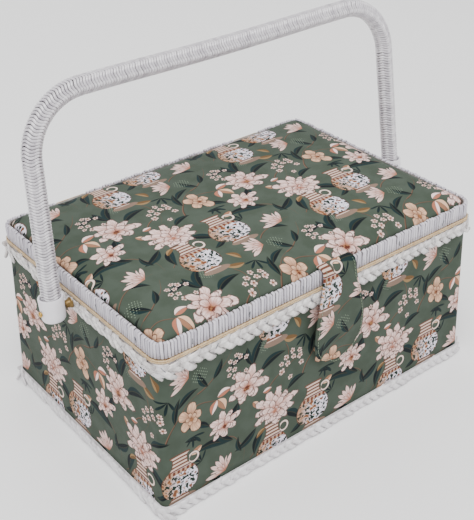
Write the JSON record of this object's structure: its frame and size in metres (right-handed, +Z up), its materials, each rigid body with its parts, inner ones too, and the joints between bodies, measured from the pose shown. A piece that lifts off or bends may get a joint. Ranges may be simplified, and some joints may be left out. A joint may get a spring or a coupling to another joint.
{
  "type": "sewing box with trays",
  "caption": "Fabric-covered sewing box with a padded hinged lid, closing flap, wrapped swinging handle and lift-out compartment trays.",
  "frame": {"origin": "On the floor under the middle of the box body.", "axes": "+X along the length, -Y out of the front with the flap, +Z up."},
  "size_m": [0.3786, 0.2329, 0.3037],
  "materials": {
    "wall_board": "pressed fibre board, unfinished",
    "frame_wood": "plain pale wood",
    "printed_cloth": "woven cotton with an all-over flower and vase print on grey-green",
    "satin_lining": "cream satin lining, soft sheen",
    "rim_strip": "flat white strips side by side, low gloss",
    "white_braid": "white plaited trimming braid",
    "straw_cord": "twisted straw-coloured cord",
    "handle_wrap": "shiny white cord wound round the handle",
    "white_plastic": "moulded white plastic, soft gloss",
    "tray_plastic": "moulded clear-white plastic",
    "foam": "soft foam padding",
    "brass": "plain brass, lightly polished",
    "steel": "plain steel"
  },
  "bodies": {
    "box": {"base_underside": "wall_board", "base_board": "wall_board", "base_lining": "satin_lining", "wall_board_front": "wall_board", "wall_board_back": "wall_board", "wall_board_left": "wall_board", "wall_board_right": "wall_board", "body_cover": "printed_cloth", "body_lining": "satin_lining", "top_frame_front": "frame_wood", "top_frame_back": "frame_wood", "top_frame_left": "frame_wood", "top_frame_right": "frame_wood", "straw_cord": "straw_cord", "straw_cord_back": "straw_cord", "rim_braid": "white_braid", "base_braid": "white_braid", "tray_ledge_front": "frame_wood", "tray_ledge_back": "frame_wood", "pivot_pin_left": "brass", "pivot_pin_right": "brass", "pivot_spacer_left": "brass", "pivot_spacer_right": "brass", "pivot_nut_left": "steel", "pivot_nut_right": "steel", "hinge_box_leaf_left": "brass", "hinge_box_leaf_right": "brass", "hinge_pin_left": "steel", "hinge_pin_right": "steel", "front_magnet": "steel"},
    "lid": {"lid_board": "wall_board", "lid_rail_front": "frame_wood", "lid_rail_back": "frame_wood", "lid_rail_left": "frame_wood", "lid_rail_right": "frame_wood", "lid_rim_strips": "rim_strip", "lid_pad": "foam", "lid_cover": "printed_cloth", "lid_lining": "satin_lining", "pin_cushion": "printed_cloth", "lid_pocket": "satin_lining", "hinge_lid_leaf_left": "brass", "hinge_lid_leaf_right": "brass"},
    "flap": {"flap_panel": "printed_cloth", "flap_magnet": "steel"},
    "handle": {"handle_core": "frame_wood", "handle_wrap": "handle_wrap", "ferrule_left": "white_plastic", "ferrule_right": "white_plastic"},
    "left_tray": {"tray_left": "tray_plastic"},
    "right_tray": {"tray_right": "tray_plastic"}
  },
  "joints": [
    {"name": "lid_hinge", "type": "hinge", "parent": "box", "child": "lid", "pos_m": [0, 0.1128, 0.146], "axis": [-1, 0, 0], "range_deg": [0, 46]},
    {"name": "flap_hinge", "type": "hinge", "parent": "lid", "child": "flap", "pos_m": [0.005, -0.1073, 0.1612], "axis": [-1, 0, 0], "range_deg": [0, 150]},
    {"name": "handle_pivot", "type": "hinge", "parent": "box", "child": "handle", "pos_m": [0, 0, 0.1387], "axis": [-1, 0, 0], "range_deg": [-125, 112]},
    {"name": "tray_left_lift", "type": "slide", "parent": "box", "child": "left_tray", "axis": [0, 0, 1], "range_m": [0, 0.014]},
    {"name": "tray_right_lift", "type": "slide", "parent": "box", "child": "right_tray", "axis": [0, 0, 1], "range_m": [0, 0.014]}
  ]
}
